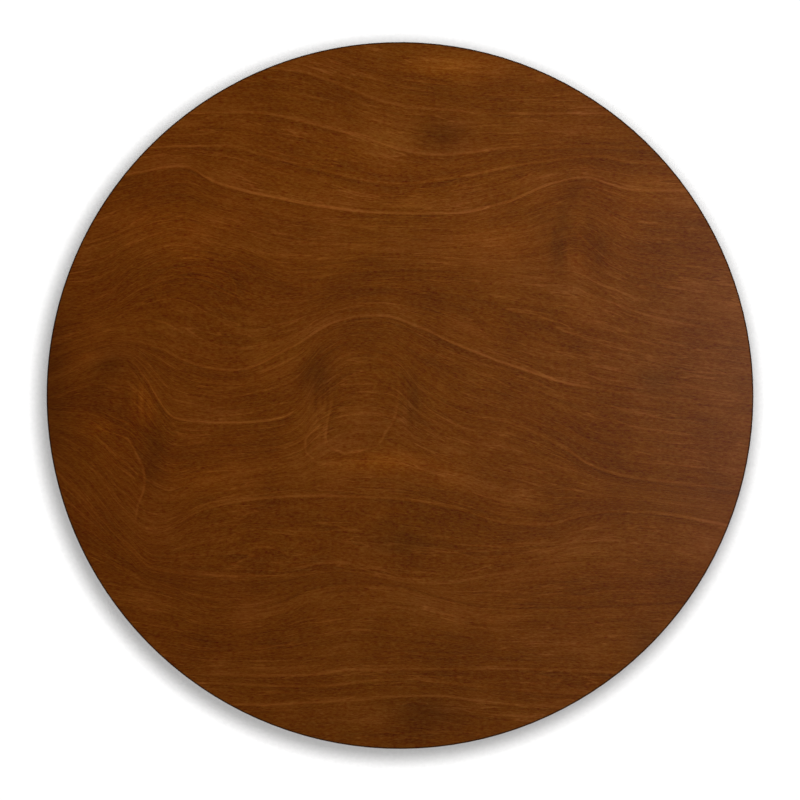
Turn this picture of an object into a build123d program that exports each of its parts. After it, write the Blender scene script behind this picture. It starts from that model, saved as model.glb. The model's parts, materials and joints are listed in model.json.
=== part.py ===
"""Tilt-top table: a round veneered top that tips upright on a turned pillar with three legs.

Frame, in millimetres: +Z up, origin on the floor under the pillar's axis. The top's grain runs
along X. The tilt axis lies along X near the front (-Y) edge of the tilt block, the catch sits
at the back (+Y), and one leg points to the front.
"""

import os
from math import cos, radians, sin

from build123d import *

# ---- Driving dimensions ----
TABLE_HEIGHT = 700.0
TOP_DIAMETER = 610.0
TOP_THICKNESS = 19.0
FOOT_REACH = 272.0  # from the pillar's axis to the tip of a toe
DRUM_RADIUS = 42.0  # the pillar's lowest part, which holds the legs
DRUM_BOTTOM = 115.0
BLOCK_WIDTH, BLOCK_DEPTH, BLOCK_THICKNESS = 140.0, 150.0, 38.0

# ---- Clearances ----
GLUE_GAP = 0.1  # a glue line, or a screw in its hole
TURN_GAP = 0.05  # radial, a shaft in its bearing
SLIDE_GAP = 0.2  # the catch bolt in its case
REST_GAP = 0.5  # between the block and the top that lies on it
SWING_GAP = 2.5  # between the block's back face and the catch that swings past it

# ---- Top ----
VENEER = 0.6
LIPPING_WIDTH = 8.0
TOP_ARRIS = 1.6
TOP_UNDERSIDE = TABLE_HEIGHT - TOP_THICKNESS
CORE_RADIUS = TOP_DIAMETER / 2 - LIPPING_WIDTH

# ---- Tilt block and pivots ----
BLOCK_TOP = TOP_UNDERSIDE - REST_GAP
BLOCK_BOTTOM = BLOCK_TOP - BLOCK_THICKNESS
BLOCK_BACK = BLOCK_DEPTH / 2
PIVOT_Y = -BLOCK_DEPTH / 2 + BLOCK_THICKNESS / 2
PIVOT_Z = BLOCK_TOP - BLOCK_THICKNESS / 2
PIVOT_RADIUS = 4.0
WASHER_THICKNESS = 1.0
INSERT_RADIUS, INSERT_LENGTH = 6.0, 18.0
TENON_RADIUS = 19.0
WEDGE_TOP, WEDGE_TIP, WEDGE_DEPTH = 3.2, 1.0, 28.0

# ---- Battens ----
BATTEN_WIDTH, BATTEN_DEPTH, BATTEN_LENGTH = 24.0, 38.0, 460.0
BATTEN_END_DEPTH, BATTEN_FLAT = 15.0, 300.0
BATTEN_INNER_X = BLOCK_WIDTH / 2 + WASHER_THICKNESS + SLIDE_GAP
BATTEN_SCREW_Y = (-145.0, -18.0, 62.0, 145.0)
BATTEN_COUNTERBORE = 11.0
BUSH_RADIUS, BUSH_FLANGE_RADIUS, BUSH_FLANGE = 6.5, 9.5, 1.5

# ---- Catch ----
PLATE = 1.0
CASE_WALL = 1.5
CASE_FRONT_Y = BLOCK_BACK + SWING_GAP
CASE_LENGTH = 52.0
CASE_INNER_HEIGHT = 10.0
FLANGE_WIDTH, FLANGE_LENGTH = 60.0, 49.0
BOLT_WIDTH, BOLT_BODY_LENGTH, BOLT_NOSE_THICKNESS = 24.0, 24.0, 6.2
BOLT_REACH = 8.0  # how far the nose enters the block
BOLT_BEVEL = 6.0
BOLT_TRAVEL = 10.0
KNOB_Y = CASE_FRONT_Y + 8.5
KNOB_STEM_RADIUS, KNOB_RADIUS, KNOB_LENGTH = 3.0, 6.5, 12.0
SPRING_RADIUS, SPRING_WIRE, SPRING_TURNS = 2.6, 0.8, 9
SPRING_BORE_RADIUS, SPRING_BORE_DEPTH = 3.5, 12.0
STRIKE_WIDTH, STRIKE_HEIGHT, STRIKE_LAP = 44.0, 20.0, 14.0
STRIKE_SCREW_X = 17.6

# ---- Legs ----
LEG_ANGLES = {"leg_front": -90.0, "leg_back_right": 30.0, "leg_back_left": 150.0}
GLIDE_RADIUS, GLIDE_THICKNESS = 11.0, 3.0
GLIDE_REACH = FOOT_REACH - 20.0
DOVETAIL_NECK, DOVETAIL_WIDTH, DOVETAIL_DEPTH, DOVETAIL_HEIGHT = 12.0, 18.0, 12.0, 73.0
# Stations along a leg: distance out, height, depth, width, corner radius over half the smaller side.
LEG_STATIONS = (
    (36, 156, 84, 33, 0.45),
    (76, 153, 76, 33, 0.50),
    (118, 136, 58, 31, 0.60),
    (158, 103, 43, 28, 0.72),
    (190, 66, 32, 25, 0.86),
    (213, 38, 25, 24, 0.92),
    (234, 20.5, 21, 29, 0.88),
    (254, 13, 21, 38, 0.80),
    (266, 12, 19, 34, 0.90),
    (FOOT_REACH, 12, 12, 21, 0.94),
)

# ---- Spider plate under the drum ----
SPIDER_THICKNESS, SPIDER_HUB_RADIUS, SPIDER_ARM_WIDTH, SPIDER_REACH = 2.5, 27.0, 16.0, 66.0
SPIDER_SCREW_REACH = 56.0

# ---- Pillar turnings, from the drum up: kind, height, radius at the end, bulge of an arc ----
PILLAR_TURNINGS = (
    ("line", 90, DRUM_RADIUS, 0),
    ("arc", 4, 38, 1.2),
    ("line", 0, 35, 0),
    ("arc", 11, 35, 5.5),
    ("line", 3, 33, 0),
    ("arc", 18, 28, -4.0),
    ("line", 0, 30, 0),
    ("line", 3, 30, 0),
    ("swell", 42, 43, 0),
    ("ogee", 88, 21, 0),
    ("line", 0, 25, 0),
    ("arc", 7, 25, 3.5),
    ("line", 0, 22.5, 0),
    ("line", 3, 22.5, 0),
    ("arc", 178, 19, 1.4),
    ("line", 0, 22, 0),
    ("arc", 6, 22, 3.0),
    ("line", 0, 20, 0),
    ("line", 4, 20, 0),
    ("ogee", 46, 33, 0),
    ("line", 0, 36, 0),
    ("arc", 9, 36, 4.5),
    ("line", 0, 32, 0),
)

Z_UP, Y_BACK, X_RIGHT = Vector(0, 0, 1), Vector(0, 1, 0), Vector(1, 0, 0)


# ---- Helpers ----
def box(x, y, z):
    """A box from three (low, high) pairs."""
    size = [high - low for low, high in (x, y, z)]
    middle = [(high + low) / 2 for low, high in (x, y, z)]
    return Pos(*middle) * Box(*size)


def rod(radius, start, direction, length):
    """A cylinder from a point, along a direction."""
    plane = Plane(origin=start, z_dir=direction)
    return plane * Cylinder(radius, length, align=(Align.CENTER, Align.CENTER, Align.MIN))


def turned(points):
    """A solid of revolution about Z, from the radius and height of each corner of its half outline."""
    outline = Polyline(*[(r, 0, z) for r, z in points], close=True)
    return revolve(make_face(outline), Axis.Z)


def wood_screw(length, shank_radius, head_radius):
    """A countersunk cross-head wood screw, head up at the origin and tip down."""
    head_height = head_radius - shank_radius
    tip_length = 3 * shank_radius
    body = turned(
        (
            (0, 0),
            (head_radius, 0),
            (head_radius, -0.3),
            (shank_radius, -0.3 - head_height),
            (shank_radius, tip_length - length),
            (0, -length),
        )
    )
    arm, width, depth = head_radius * 1.1, head_radius * 0.26, head_height * 0.8
    cross = Box(arm, width, 2 * depth) + Box(width, arm, 2 * depth)
    return body - cross


def screw_hole(length, shank_radius, head_radius, sunk=0.0):
    """What a wood screw needs cut away, with room above its head for a counterbore."""
    gap = GLUE_GAP / 2
    above = sunk + 1.0
    head_height = head_radius - shank_radius
    return turned(
        (
            (0, above),
            (head_radius + gap, above),
            (head_radius + gap, -0.3 - gap),
            (shank_radius + gap, -0.3 - gap - head_height),
            (shank_radius + gap, -length - gap),
            (0, -length - gap),
        )
    )


def facing(shape, point, outward):
    """Puts a shape made at the origin at a point, with its +Z turned to face outward."""
    return Plane(origin=point, z_dir=outward) * shape


def around(shape, angle):
    return Rot(0, 0, angle) * shape


def group(solids):
    return Compound(children=[s for shape in solids for s in shape.solids()])


# ---- Pillar ----
def turned_edges(radius, height, turnings):
    """The edges of a turned half outline in the XZ plane, and the point where it ends."""
    edges, at = [], Vector(radius, 0, height)
    for kind, rise, end_radius, bulge in turnings:
        end = Vector(end_radius, 0, at.Z + rise)
        middle = (at + end) / 2 + Vector(bulge, 0, 0)
        if kind == "line" and (end - at).length:
            edges.append(Line(at, end))
        elif kind == "arc":
            edges.append(ThreePointArc(at, middle, end))
        elif kind == "swell":
            edges.append(Spline(at, end, tangents=(Vector(1.6, 0, 1), Z_UP)))
        elif kind == "ogee":
            edges.append(Spline(at, end, tangents=(Z_UP, Z_UP)))
        at = end
    return edges, at


def dovetail(gap=0.0):
    """A leg's sliding dovetail, pointing out along +X, grown by a gap for its socket."""
    root = DRUM_RADIUS - DOVETAIL_DEPTH - gap
    half_wide, half_neck = DOVETAIL_WIDTH / 2 + gap, DOVETAIL_NECK / 2 + gap
    outer = DRUM_RADIUS + 3.0
    plan = Polyline(
        (root, -half_wide), (outer, -half_neck), (outer, half_neck), (root, half_wide), close=True
    )
    solid = extrude(make_face(plan), DOVETAIL_HEIGHT + gap)
    return Pos(0, 0, DRUM_BOTTOM) * solid


def tenon_wedge(gap=0.0):
    """The wedge that spreads the pillar's tenon in the block, thin edge down."""
    top, bottom = BLOCK_TOP, BLOCK_TOP - WEDGE_DEPTH - gap
    half_top, half_tip = WEDGE_TOP / 2 + gap, WEDGE_TIP / 2 + gap
    side = Polyline(
        (-half_top, 0, top), (half_top, 0, top), (half_tip, 0, bottom), (-half_tip, 0, bottom), close=True
    )
    blade = extrude(make_face(side), TENON_RADIUS, dir=Y_BACK, both=True)
    return blade & rod(TENON_RADIUS, (0, 0, bottom - 1), Z_UP, WEDGE_DEPTH + gap + 2)


def pillar():
    edges, end = turned_edges(DRUM_RADIUS, DRUM_BOTTOM, PILLAR_TURNINGS)
    axis_top, axis_bottom = Vector(0, 0, end.Z), Vector(0, 0, DRUM_BOTTOM)
    closing = [
        Line(end, axis_top),
        Line(axis_top, axis_bottom),
        Line(axis_bottom, Vector(DRUM_RADIUS, 0, DRUM_BOTTOM)),
    ]
    body = revolve(make_face(edges + closing), Axis.Z)
    body += rod(TENON_RADIUS, end.Z * Z_UP - 5 * Z_UP, Z_UP, BLOCK_TOP - end.Z + 5)
    body -= tenon_wedge(GLUE_GAP)
    for angle in LEG_ANGLES.values():
        body -= around(dovetail(GLUE_GAP), angle)
    return body - spider_screw_holes()


# ---- Legs and feet ----
def leg_form():
    """A cabriole leg pointing out along +X, lofted through its stations."""
    points = [(out, 0, up) for out, up, *_ in LEG_STATIONS]
    path = Spline(*points, tangents=(X_RIGHT, X_RIGHT))
    sections = []
    for point, (_, _, depth, width, roundness) in zip(points, LEG_STATIONS):
        across = Plane(origin=point, x_dir=Y_BACK, z_dir=path % path.param_at_point(point))
        corner = roundness * min(depth, width) / 2
        sections.append(across * RectangleRounded(width, depth, corner))
    return loft(sections)


def leg():
    form = leg_form() - rod(DRUM_RADIUS + GLUE_GAP, (0, 0, 0), Z_UP, TABLE_HEIGHT / 2)
    form -= box((0, SPIDER_REACH * 1.5), (-50, 50), (0, DRUM_BOTTOM))
    form -= box((GLIDE_REACH / 2, FOOT_REACH + 20), (-50, 50), (-20, GLIDE_THICKNESS))
    form += dovetail()
    return form - glide_nail()


def glide_nail():
    """The nail moulded in a glide, under a leg that points along +X."""
    head = rod(4.0, (GLIDE_REACH, 0, 1.2), Z_UP, 1.0)
    return head + rod(1.0, (GLIDE_REACH, 0, 1.2), Z_UP, 12.0)


def glide():
    disc = rod(GLIDE_RADIUS, (GLIDE_REACH, 0, 0), Z_UP, GLIDE_THICKNESS)
    disc = fillet(disc.edges().group_by(Axis.Z)[0], 0.8)
    return disc - glide_nail()


# ---- Spider plate ----
def spider_screw_places():
    """The centre screw, and one in each arm."""
    reaches = [(SPIDER_SCREW_REACH, radians(angle)) for angle in LEG_ANGLES.values()]
    bottom = DRUM_BOTTOM - SPIDER_THICKNESS
    return [(0, 0, bottom)] + [(r * cos(a), r * sin(a), bottom) for r, a in reaches]


def spider_screws():
    screw = wood_screw(26, 1.9, 3.8)
    return group(facing(screw, place, -Z_UP) for place in spider_screw_places())


def spider_screw_holes():
    hole = screw_hole(26, 1.9, 3.8)
    return Part() + [facing(hole, place, -Z_UP) for place in spider_screw_places()]


def spider_plate():
    bottom = (0, 0, DRUM_BOTTOM - SPIDER_THICKNESS)
    plate = rod(SPIDER_HUB_RADIUS, bottom, Z_UP, SPIDER_THICKNESS)
    half = SPIDER_ARM_WIDTH / 2
    for angle in LEG_ANGLES.values():
        arm = box((0, SPIDER_REACH - half), (-half, half), (bottom[2], DRUM_BOTTOM))
        arm += rod(half, (SPIDER_REACH - half, 0, bottom[2]), Z_UP, SPIDER_THICKNESS)
        plate += around(arm, angle)
    return plate - spider_screw_holes()


# ---- Tilt block ----
def bolt_heights():
    """The bottom and top of the catch bolt's nose."""
    bottom = TOP_UNDERSIDE - PLATE - CASE_INNER_HEIGHT + SLIDE_GAP
    return bottom, bottom + BOLT_NOSE_THICKNESS


def mortise(gap, depth):
    """The pocket in the block's back face for the bolt's nose."""
    low, high = bolt_heights()
    half = BOLT_WIDTH / 2 + gap
    return box((-half, half), (BLOCK_BACK - depth, BLOCK_BACK + 1), (low - gap, high + gap))


def strike_form(gap=0.0):
    """The strike plate's L shape, over the block's back face and its upper edge."""
    half = STRIKE_WIDTH / 2 + gap
    back = box(
        (-half, half),
        (BLOCK_BACK - CASE_WALL - gap, BLOCK_BACK),
        (BLOCK_TOP - STRIKE_HEIGHT - gap, BLOCK_TOP),
    )
    lap = box(
        (-half, half), (BLOCK_BACK - STRIKE_LAP - gap, BLOCK_BACK), (BLOCK_TOP - CASE_WALL - gap, BLOCK_TOP)
    )
    return back + lap


def strike_screw_places():
    middle = sum(bolt_heights()) / 2
    return [(side * STRIKE_SCREW_X, BLOCK_BACK, middle) for side in (-1, 1)]


def strike_screws():
    screw = wood_screw(15, 1.3, 2.6)
    return group(facing(screw, place, Y_BACK) for place in strike_screw_places())


def strike_screw_holes():
    hole = screw_hole(15, 1.3, 2.6)
    return Part() + [facing(hole, place, Y_BACK) for place in strike_screw_places()]


def strike_plate():
    plate = strike_form()
    outer_edge = plate.edges().filter_by(Axis.X).sort_by(lambda e: e.center().Y + e.center().Z)[-1]
    plate = fillet(outer_edge, 1.0)
    return plate - mortise(0.5, STRIKE_LAP) - strike_screw_holes()


def tilt_block():
    half_x, half_y = BLOCK_WIDTH / 2, BLOCK_DEPTH / 2
    block = box((-half_x, half_x), (-half_y, half_y), (BLOCK_BOTTOM, BLOCK_TOP))
    upper_front = block.edges().filter_by(Axis.X).sort_by(lambda e: e.center().Z - e.center().Y)[-1]
    block = fillet(upper_front, BLOCK_THICKNESS / 2)
    block = chamfer(block.faces().sort_by(Axis.Z)[0].edges(), 2.5)
    block -= rod(TENON_RADIUS + GLUE_GAP, (0, 0, BLOCK_BOTTOM - 1), Z_UP, BLOCK_THICKNESS + 2)
    for side in (-1, 1):
        mouth = (side * (half_x + 1), PIVOT_Y, PIVOT_Z)
        block -= rod(INSERT_RADIUS + GLUE_GAP, mouth, -side * X_RIGHT, INSERT_LENGTH + 2)
    block -= strike_form(GLUE_GAP) + mortise(0.8, STRIKE_LAP)
    return block - strike_screw_holes()


# ---- Pivots: the bolts turn in bushes pressed into the battens ----
def pivot_insert(side):
    start = (side * BLOCK_WIDTH / 2, PIVOT_Y, PIVOT_Z)
    body = rod(INSERT_RADIUS, start, -side * X_RIGHT, INSERT_LENGTH)
    return body - rod(PIVOT_RADIUS + TURN_GAP, start, -side * X_RIGHT, INSERT_LENGTH)


def pivot_washer(side):
    start = (side * BLOCK_WIDTH / 2, PIVOT_Y, PIVOT_Z)
    body = rod(BUSH_FLANGE_RADIUS, start, side * X_RIGHT, WASHER_THICKNESS)
    return body - rod(PIVOT_RADIUS + GLUE_GAP, start, side * X_RIGHT, WASHER_THICKNESS)


def pivot_bush(side):
    inner = (side * BATTEN_INNER_X, PIVOT_Y, PIVOT_Z)
    outer = (side * (BATTEN_INNER_X + BATTEN_WIDTH), PIVOT_Y, PIVOT_Z)
    body = rod(BUSH_RADIUS, inner, side * X_RIGHT, BATTEN_WIDTH)
    body += rod(BUSH_FLANGE_RADIUS, outer, side * X_RIGHT, BUSH_FLANGE)
    return body - rod(PIVOT_RADIUS + TURN_GAP, inner, side * X_RIGHT, BATTEN_WIDTH + BUSH_FLANGE)


def pivot_bolt(side):
    """A flat-head furniture bolt with a hexagon socket, screwed into the block's insert."""
    head_radius, head_height, socket_radius = 8.0, 3.2, 2.9
    seat_x = BATTEN_INNER_X + BATTEN_WIDTH + BUSH_FLANGE + SLIDE_GAP
    shank_end_x = BLOCK_WIDTH / 2 - INSERT_LENGTH + 3
    bolt = rod(PIVOT_RADIUS, (0, 0, shank_end_x - seat_x), Z_UP, seat_x - shank_end_x)
    bolt = chamfer(bolt.edges().group_by(Axis.Z)[0], 0.8)
    head = rod(head_radius, (0, 0, 0), Z_UP, head_height)
    head = fillet(head.edges().group_by(Axis.Z)[-1], 1.2)
    socket = extrude(Plane.XY.offset(head_height) * RegularPolygon(socket_radius, 6), -2.2)
    return facing(bolt + head - socket, (side * seat_x, PIVOT_Y, PIVOT_Z), side * X_RIGHT)


# ---- Top ----
def top_slab(low, high, inner_radius=0.0):
    """A layer of the top between two heights, with the whole top's eased edge."""
    disc = rod(TOP_DIAMETER / 2, (0, 0, TOP_UNDERSIDE), Z_UP, TOP_THICKNESS)
    disc = fillet(disc.edges(), TOP_ARRIS)
    layer = disc & rod(TOP_DIAMETER, (0, 0, low), Z_UP, high - low)
    if inner_radius:
        layer -= rod(inner_radius, (0, 0, low), Z_UP, high - low)
    return layer


def face_veneer():
    return top_slab(TABLE_HEIGHT - VENEER, TABLE_HEIGHT)


def back_veneer():
    return top_slab(TOP_UNDERSIDE, TOP_UNDERSIDE + VENEER) - top_screw_holes()


def top_core():
    low, high = TOP_UNDERSIDE + VENEER, TABLE_HEIGHT - VENEER
    return rod(CORE_RADIUS, (0, 0, low), Z_UP, high - low) - top_screw_holes()


def edge_lipping():
    return top_slab(TOP_UNDERSIDE + VENEER, TABLE_HEIGHT - VENEER, CORE_RADIUS + GLUE_GAP)


def top_screw_holes():
    """Every screw hole that reaches into the top from below."""
    return batten_screw_holes(-1) + batten_screw_holes(1) + catch_screw_holes()


# ---- Battens ----
def batten_screw_places(side):
    x = side * (BATTEN_INNER_X + BATTEN_WIDTH / 2)
    z = TOP_UNDERSIDE - BATTEN_DEPTH + BATTEN_COUNTERBORE
    return [(x, y, z) for y in BATTEN_SCREW_Y]


def batten_screws(side):
    screw = wood_screw(39, 2.1, 4.2)
    return group(facing(screw, place, -Z_UP) for place in batten_screw_places(side))


def batten_screw_holes(side):
    hole = screw_hole(39, 2.1, 4.2, BATTEN_COUNTERBORE)
    return Part() + [facing(hole, place, -Z_UP) for place in batten_screw_places(side)]


def batten(side):
    """A bearer across the top's grain, with its lower edge swept up at both ends."""
    half, flat = BATTEN_LENGTH / 2, BATTEN_FLAT / 2
    bottom, end = TOP_UNDERSIDE - BATTEN_DEPTH, TOP_UNDERSIDE - BATTEN_END_DEPTH
    inner = BATTEN_INNER_X
    corners = [(-half, end), (-half, TOP_UNDERSIDE), (half, TOP_UNDERSIDE), (half, end)]
    sweeps = [
        TangentArc((inner, y * flat, bottom), (inner, y * half, end), tangent=(0, y, 0)) for y in (-1, 1)
    ]
    outline = [
        Polyline(*[(inner, y, z) for y, z in corners]),
        Line((inner, -flat, bottom), (inner, flat, bottom)),
        *sweeps,
    ]
    body = extrude(make_face(outline), BATTEN_WIDTH, dir=X_RIGHT)
    lower = [e for e in body.edges() if e.center().Z < end and e.length > BATTEN_WIDTH + 1]
    body = chamfer(lower, 2.0)
    if side < 0:
        body = mirror(body, Plane.YZ)
    start = (side * (inner - 1), PIVOT_Y, PIVOT_Z)
    body -= rod(BUSH_RADIUS + GLUE_GAP, start, side * X_RIGHT, BATTEN_WIDTH + 2)
    return body - batten_screw_holes(side)


# ---- Catch ----
def catch_screw_places():
    x, inset = FLANGE_WIDTH / 2 - 7.5, 9.0
    front = CASE_FRONT_Y + 1.5 + inset
    back = front + FLANGE_LENGTH - 2 * inset
    z = TOP_UNDERSIDE - PLATE - CASE_WALL
    return [(side * x, y, z) for side in (-1, 1) for y in (front, back)]


def catch_screws():
    screw = wood_screw(13, 1.4, 2.8)
    return group(facing(screw, place, -Z_UP) for place in catch_screw_places())


def catch_screw_holes():
    hole = screw_hole(13, 1.4, 2.8)
    return Part() + [facing(hole, place, -Z_UP) for place in catch_screw_places()]


def flange(low, high):
    """A plate of the catch's outline between two heights, with rounded corners."""
    front = CASE_FRONT_Y + 1.5
    half = FLANGE_WIDTH / 2
    plate = box((-half, half), (front, front + FLANGE_LENGTH), (low, high))
    return fillet(plate.edges().filter_by(Axis.Z), 5.0)


def catch_back_plate():
    return flange(TOP_UNDERSIDE - PLATE, TOP_UNDERSIDE) - catch_screw_holes()


def catch_case():
    roof = TOP_UNDERSIDE - PLATE
    floor = roof - CASE_INNER_HEIGHT
    half = BOLT_WIDTH / 2 + SLIDE_GAP
    back = CASE_FRONT_Y + CASE_LENGTH
    shell = box((-half - CASE_WALL, half + CASE_WALL), (CASE_FRONT_Y, back), (floor - CASE_WALL, roof))
    shell = fillet(shell.faces().sort_by(Axis.Z)[0].edges(), 1.2)
    shell += flange(roof - CASE_WALL, roof)
    shell -= box((-half, half), (CASE_FRONT_Y + CASE_WALL, back - CASE_WALL), (floor, roof))
    low, high = bolt_heights()
    gate = box((-half, half), (CASE_FRONT_Y - 1, CASE_FRONT_Y + 3), (floor, high + SLIDE_GAP))
    slot_half = KNOB_STEM_RADIUS + 0.4
    slot = box((-slot_half, slot_half), (KNOB_Y, KNOB_Y + BOLT_TRAVEL), (floor - 3, floor + 1))
    for y in (KNOB_Y, KNOB_Y + BOLT_TRAVEL):
        slot += rod(slot_half, (0, y, floor - 3), Z_UP, 4)
    return shell - gate - slot - catch_screw_holes()


def catch_bolt():
    """The sliding bolt, with its nose bevelled underneath to ride down over the strike plate."""
    low, high = bolt_heights()
    body_front = CASE_FRONT_Y + CASE_WALL + SLIDE_GAP
    body_back = body_front + BOLT_BODY_LENGTH
    roof = TOP_UNDERSIDE - PLATE - SLIDE_GAP
    tip = BLOCK_BACK - BOLT_REACH
    side = Polyline(
        (0, tip, high),
        (0, tip, high - 1.6),
        (0, tip + BOLT_BEVEL, low),
        (0, body_back, low),
        (0, body_back, roof),
        (0, body_front, roof),
        (0, body_front, high),
        close=True,
    )
    body = extrude(make_face(side), BOLT_WIDTH / 2, dir=X_RIGHT, both=True)
    mouth = (0, body_back, spring_height())
    body -= rod(SPRING_BORE_RADIUS, mouth, -Y_BACK, SPRING_BORE_DEPTH)
    return body - rod(KNOB_STEM_RADIUS * 0.65, (0, KNOB_Y, low - 1), Z_UP, 7.0)


def spring_height():
    return TOP_UNDERSIDE - PLATE - CASE_INNER_HEIGHT / 2


def catch_spring():
    """A coil spring between the bolt's bore and the case's back wall."""
    start = CASE_FRONT_Y + CASE_WALL + SLIDE_GAP + BOLT_BODY_LENGTH - SPRING_BORE_DEPTH
    end = CASE_FRONT_Y + CASE_LENGTH - CASE_WALL
    length = end - start - SPRING_WIRE - 2 * SLIDE_GAP
    coil = Helix(pitch=length / SPRING_TURNS, height=length, radius=SPRING_RADIUS)
    section = Plane(origin=coil @ 0, z_dir=coil % 0) * Circle(SPRING_WIRE / 2)
    wire = sweep(section, path=coil)
    first = (0, start + SPRING_WIRE / 2 + SLIDE_GAP, spring_height())
    return facing(wire, first, Y_BACK)


def catch_knob():
    """A turned thumb knob whose stem passes through the case's slot into the bolt."""
    low, _ = bolt_heights()
    neck, stem, knob = KNOB_STEM_RADIUS * 0.65 - TURN_GAP, KNOB_STEM_RADIUS, KNOB_RADIUS
    stem_length = 5.0
    outline = [
        Polyline(
            (0, 0, -stem_length - KNOB_LENGTH),
            (0, 0, 5.5),
            (neck, 0, 5.5),
            (neck, 0, 0),
            (stem, 0, 0),
            (stem, 0, -stem_length),
        ),
        Spline(
            (stem, 0, -stem_length),
            (knob, 0, -stem_length - KNOB_LENGTH * 0.55),
            (0, 0, -stem_length - KNOB_LENGTH),
            tangents=((1, 0, -0.4), (-1, 0, 0)),
        ),
    ]
    return Pos(0, KNOB_Y, low) * revolve(make_face(outline), Axis.Z)


# ---- The whole table ----
def all_parts():
    """Every piece by its node name."""
    parts = {
        "pillar": pillar(),
        "spider_plate": spider_plate(),
        "spider_screws": spider_screws(),
        "glide_nails": group(around(glide_nail(), angle) for angle in LEG_ANGLES.values()),
        "tilt_block": tilt_block(),
        "tenon_wedge": tenon_wedge(),
        "strike_plate": strike_plate(),
        "strike_screws": strike_screws(),
        "face_veneer": face_veneer(),
        "top_core": top_core(),
        "edge_lipping": edge_lipping(),
        "back_veneer": back_veneer(),
        "catch_case": catch_case(),
        "catch_back_plate": catch_back_plate(),
        "catch_screws": catch_screws(),
        "catch_spring": catch_spring(),
        "catch_bolt": catch_bolt(),
        "catch_knob": catch_knob(),
    }
    one_leg = leg()
    for name, angle in LEG_ANGLES.items():
        parts[name] = around(one_leg, angle) - spider_screw_holes()
        parts[name.replace("leg", "glide")] = around(glide(), angle)
    for name, side in (("left", -1), ("right", 1)):
        parts[f"pivot_insert_{name}"] = pivot_insert(side)
        parts[f"pivot_bolt_{name}"] = pivot_bolt(side)
        parts[f"pivot_washer_{name}"] = pivot_washer(side)
        parts[f"pivot_bush_{name}"] = pivot_bush(side)
        parts[f"batten_{name}"] = batten(side)
        parts[f"batten_screws_{name}"] = batten_screws(side)
    return parts


if __name__ == "__main__":
    os.makedirs("parts", exist_ok=True)
    for name, shape in all_parts().items():
        export_step(shape, f"parts/{name}.step")
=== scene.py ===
"""Looks of the tilt-top table: a material for every piece of the frame, the catch's coil, a pale floor,
soft studio light and a camera that looks straight down on the top. Lengths are in metres, in the frame's
axes."""

import json
from math import cos, radians, sin, tau

import bpy
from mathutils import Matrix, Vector

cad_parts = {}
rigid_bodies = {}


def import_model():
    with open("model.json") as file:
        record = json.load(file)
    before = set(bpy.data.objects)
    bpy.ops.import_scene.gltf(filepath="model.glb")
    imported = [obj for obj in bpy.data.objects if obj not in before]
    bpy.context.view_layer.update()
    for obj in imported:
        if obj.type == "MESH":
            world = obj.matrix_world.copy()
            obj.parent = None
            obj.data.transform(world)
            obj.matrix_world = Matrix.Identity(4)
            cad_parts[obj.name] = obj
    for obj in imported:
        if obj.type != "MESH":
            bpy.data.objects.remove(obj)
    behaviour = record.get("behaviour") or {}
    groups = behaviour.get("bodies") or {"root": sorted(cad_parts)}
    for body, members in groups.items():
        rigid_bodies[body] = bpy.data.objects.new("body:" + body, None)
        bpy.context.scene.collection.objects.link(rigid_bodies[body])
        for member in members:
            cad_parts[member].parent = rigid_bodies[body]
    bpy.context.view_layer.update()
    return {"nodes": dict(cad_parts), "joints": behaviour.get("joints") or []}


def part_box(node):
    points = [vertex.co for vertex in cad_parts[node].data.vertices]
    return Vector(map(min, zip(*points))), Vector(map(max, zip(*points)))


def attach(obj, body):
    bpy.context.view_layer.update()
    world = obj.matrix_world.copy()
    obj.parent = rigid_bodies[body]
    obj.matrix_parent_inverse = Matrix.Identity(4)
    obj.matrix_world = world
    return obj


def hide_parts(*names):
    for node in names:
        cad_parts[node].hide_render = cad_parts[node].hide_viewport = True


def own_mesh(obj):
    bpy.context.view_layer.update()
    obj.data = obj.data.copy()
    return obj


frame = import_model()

nodes = frame["nodes"]

# ---- Places, from the frame ----
TOP_LOW, TOP_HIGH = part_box("edge_lipping")
TOP_RADIUS = (TOP_HIGH.x - TOP_LOW.x) / 2
TOP_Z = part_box("face_veneer")[1].z
LEG_LOW, LEG_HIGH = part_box("leg_front")
LEG_FALL = (LEG_HIGH.z - LEG_LOW.z) / (LEG_HIGH.y - LEG_LOW.y)  # how steeply a leg drops towards its foot

# ---- Camera ----
LENS, SENSOR = 85.0, 36.0  # millimetres
TOP_SHARE = 0.8844  # the top's width over the picture's
TOP_RAISE = 0.0113  # how far the top's centre stands above the picture's, over half the picture
CAMERA_HEIGHT = TOP_RADIUS * 2 / TOP_SHARE * LENS / SENSOR

# ---- Light ----
KEY_SIZE, KEY_POWER = 0.056, 38.0
KEY_PLACE = (0.0096, 0.0108)  # beside the camera's axis, so that the shadow shows at the left and the front
KEY_DROP = 0.101  # how far the key hangs below the camera, which sets the width of the shadow round the rim
FILL = 0.56  # the world's even light
CARD_SIZE, CARD_POWER = (0.9, 0.9), 46.0
CARD_PLACE = (1.45, 0.12, 3.15)  # where its sheen falls on the right of the top
HORIZON_GLOSS, GLOSS_END = 0.6, 0.75  # what shiny surfaces see: the horizon's light, and how high it reaches
FLOOR_SIZE, FLOOR_DROP = 14.0, 0.0004
COVE_GLOW, COVE_START, COVE_END = 0.58, 0.75, 3.5  # the far floor glows, which hides the horizon

# ---- The catch's spring ----
SPRING_WIRE, SPRING_TURNS, SPRING_STEPS = 0.0008, 11, 28  # wire thickness, turns, and points to a turn

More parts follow.
